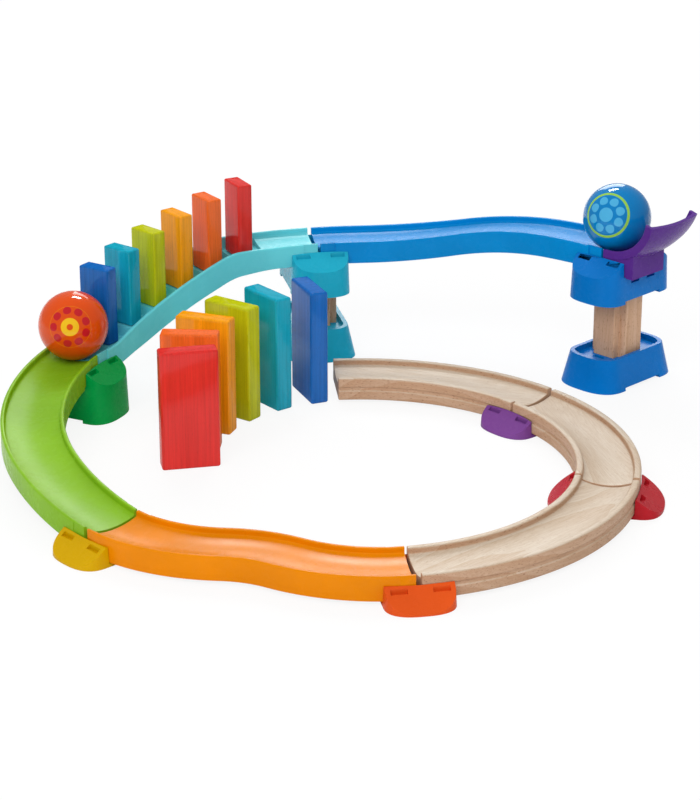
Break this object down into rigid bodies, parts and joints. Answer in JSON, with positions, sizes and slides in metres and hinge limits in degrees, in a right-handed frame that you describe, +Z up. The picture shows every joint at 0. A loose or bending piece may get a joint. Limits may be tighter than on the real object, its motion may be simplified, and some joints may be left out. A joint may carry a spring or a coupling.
{
  "type": "ball track toy",
  "caption": "Rainbow ball and domino track: towers, moulded and beech curves on clip connectors, balls that roll along them and dominoes that topple.",
  "frame": {"origin": "middle of the footprint's box, on the floor", "axes": "+Z up; +Y away from the viewer of the picture; +X to the viewer's right"},
  "size_m": [0.4403, 0.4603, 0.1329],
  "materials": {
    "sky_plastic": "gloss",
    "teal_plastic": "gloss",
    "lime_plastic": "gloss",
    "orange_plastic": "gloss",
    "beech": "bare beech, oiled",
    "blue_plastic": "gloss",
    "purple_plastic": "gloss",
    "green_plastic": "gloss",
    "yellow_plastic": "gloss",
    "coral_plastic": "gloss",
    "red_plastic": "gloss",
    "violet_plastic": "gloss",
    "blue_ball": "gloss",
    "orange_ball": "gloss",
    "red_paint": "stain and clear lacquer",
    "orange_paint": "stain and clear lacquer",
    "amber_paint": "stain and clear lacquer",
    "lime_paint": "stain and clear lacquer",
    "teal_paint": "stain and clear lacquer",
    "blue_paint": "stain and clear lacquer"
  },
  "bodies": {
    "track": {"blue_track": "sky_plastic", "stair_track": "teal_plastic", "lime_curve": "lime_plastic", "wave_track": "orange_plastic", "wood_curve_1": "beech", "wood_curve_2": "beech", "wood_curve_3": "beech", "start_base": "blue_plastic", "start_post": "beech", "start_saddle": "blue_plastic", "launch_ramp": "purple_plastic", "middle_base": "teal_plastic", "middle_post": "beech", "middle_saddle": "teal_plastic", "green_connector": "green_plastic", "yellow_connector": "yellow_plastic", "coral_connector": "coral_plastic", "red_connector": "red_plastic", "violet_connector": "violet_plastic"},
    "blue_ball": {"blue_ball": "blue_ball"},
    "small_domino_red": {"small_domino_red": "red_paint"},
    "small_domino_orange": {"small_domino_orange": "orange_paint"},
    "small_domino_amber": {"small_domino_amber": "amber_paint"},
    "small_domino_lime": {"small_domino_lime": "lime_paint"},
    "small_domino_teal": {"small_domino_teal": "teal_paint"},
    "small_domino_blue": {"small_domino_blue": "blue_paint"},
    "orange_ball": {"orange_ball": "orange_ball"},
    "large_domino_blue": {"large_domino_blue": "blue_paint"},
    "large_domino_teal": {"large_domino_teal": "teal_paint"},
    "large_domino_lime": {"large_domino_lime": "lime_paint"},
    "large_domino_amber": {"large_domino_amber": "amber_paint"},
    "large_domino_orange": {"large_domino_orange": "orange_paint"},
    "large_domino_red": {"large_domino_red": "red_paint"}
  },
  "joints": [
    {"name": "blue_ball_roll", "type": "hinge", "parent": "track", "child": "blue_ball", "pos_m": [0.01728, -0.02646, 0], "axis": [0, 0, 1], "range_deg": [0, 15]},
    {"name": "stair_row_topple", "type": "hinge", "parent": "track", "child": "small_domino_red", "pos_m": [-0.0844, 0.17145, 0.0718], "axis": [0.457, -0.8895, 0], "range_deg": [0, 80]},
    {"name": "small_orange_topple", "type": "hinge", "parent": "track", "child": "small_domino_orange", "pos_m": [-0.10486, 0.15952, 0.06498], "axis": [0.549, -0.8358, 0], "range_deg": [0, 80]},
    {"name": "small_amber_topple", "type": "hinge", "parent": "track", "child": "small_domino_amber", "pos_m": [-0.12394, 0.14548, 0.05816], "axis": [0.6347, -0.7727, 0], "range_deg": [0, 80]},
    {"name": "small_lime_topple", "type": "hinge", "parent": "track", "child": "small_domino_lime", "pos_m": [-0.14142, 0.12949, 0.05134], "axis": [0.7133, -0.7009, 0], "range_deg": [0, 80]},
    {"name": "small_teal_topple", "type": "hinge", "parent": "track", "child": "small_domino_teal", "pos_m": [-0.1571, 0.11173, 0.04452], "axis": [0.7837, -0.6211, 0], "range_deg": [0, 80]},
    {"name": "small_blue_topple", "type": "hinge", "parent": "track", "child": "small_domino_blue", "pos_m": [-0.17081, 0.09241, 0.0377], "axis": [0.8453, -0.5342, 0], "range_deg": [0, 80]},
    {"name": "orange_ball_roll", "type": "hinge", "parent": "track", "child": "orange_ball", "pos_m": [-0.03179, -0.00274, 0.04613], "axis": [0.0214, -0.1037, 0.9944], "range_deg": [0, 48]},
    {"name": "floor_row_topple", "type": "hinge", "parent": "track", "child": "large_domino_blue", "pos_m": [-0.03637, 0.09348, 0], "axis": [0.3762, -0.9265, 0], "range_deg": [0, 50]},
    {"name": "large_teal_topple", "type": "hinge", "parent": "track", "child": "large_domino_teal", "pos_m": [-0.06236, 0.07842, 0], "axis": [0.617, -0.7869, 0], "range_deg": [0, 50]},
    {"name": "large_lime_topple", "type": "hinge", "parent": "track", "child": "large_domino_lime", "pos_m": [-0.08318, 0.05678, 0], "axis": [0.81, -0.5864, 0], "range_deg": [0, 50]},
    {"name": "large_amber_topple", "type": "hinge", "parent": "track", "child": "large_domino_amber", "pos_m": [-0.09724, 0.03024, 0], "axis": [0.9403, -0.3404, 0], "range_deg": [0, 50]},
    {"name": "large_orange_topple", "type": "hinge", "parent": "track", "child": "large_domino_orange", "pos_m": [-0.10343, 0.00085, 0], "axis": [0.9977, -0.068, 0], "range_deg": [0, 50]},
    {"name": "large_red_topple", "type": "hinge", "parent": "track", "child": "large_domino_red", "pos_m": [-0.10128, -0.02911, 0], "axis": [0.9778, 0.2096, 0], "range_deg": [0, 90]}
  ],
  "couplings": [
    {"joint": "small_orange_topple", "follows": "stair_row_topple", "ratio": 1},
    {"joint": "small_amber_topple", "follows": "stair_row_topple", "ratio": 1},
    {"joint": "small_lime_topple", "follows": "stair_row_topple", "ratio": 1},
    {"joint": "small_teal_topple", "follows": "stair_row_topple", "ratio": 1},
    {"joint": "small_blue_topple", "follows": "stair_row_topple", "ratio": 1},
    {"joint": "orange_ball_roll", "follows": "stair_row_topple", "ratio": 0.6},
    {"joint": "large_teal_topple", "follows": "floor_row_topple", "ratio": 1},
    {"joint": "large_lime_topple", "follows": "floor_row_topple", "ratio": 1},
    {"joint": "large_amber_topple", "follows": "floor_row_topple", "ratio": 1},
    {"joint": "large_orange_topple", "follows": "floor_row_topple", "ratio": 1},
    {"joint": "large_red_topple", "follows": "floor_row_topple", "ratio": 1.8}
  ]
}
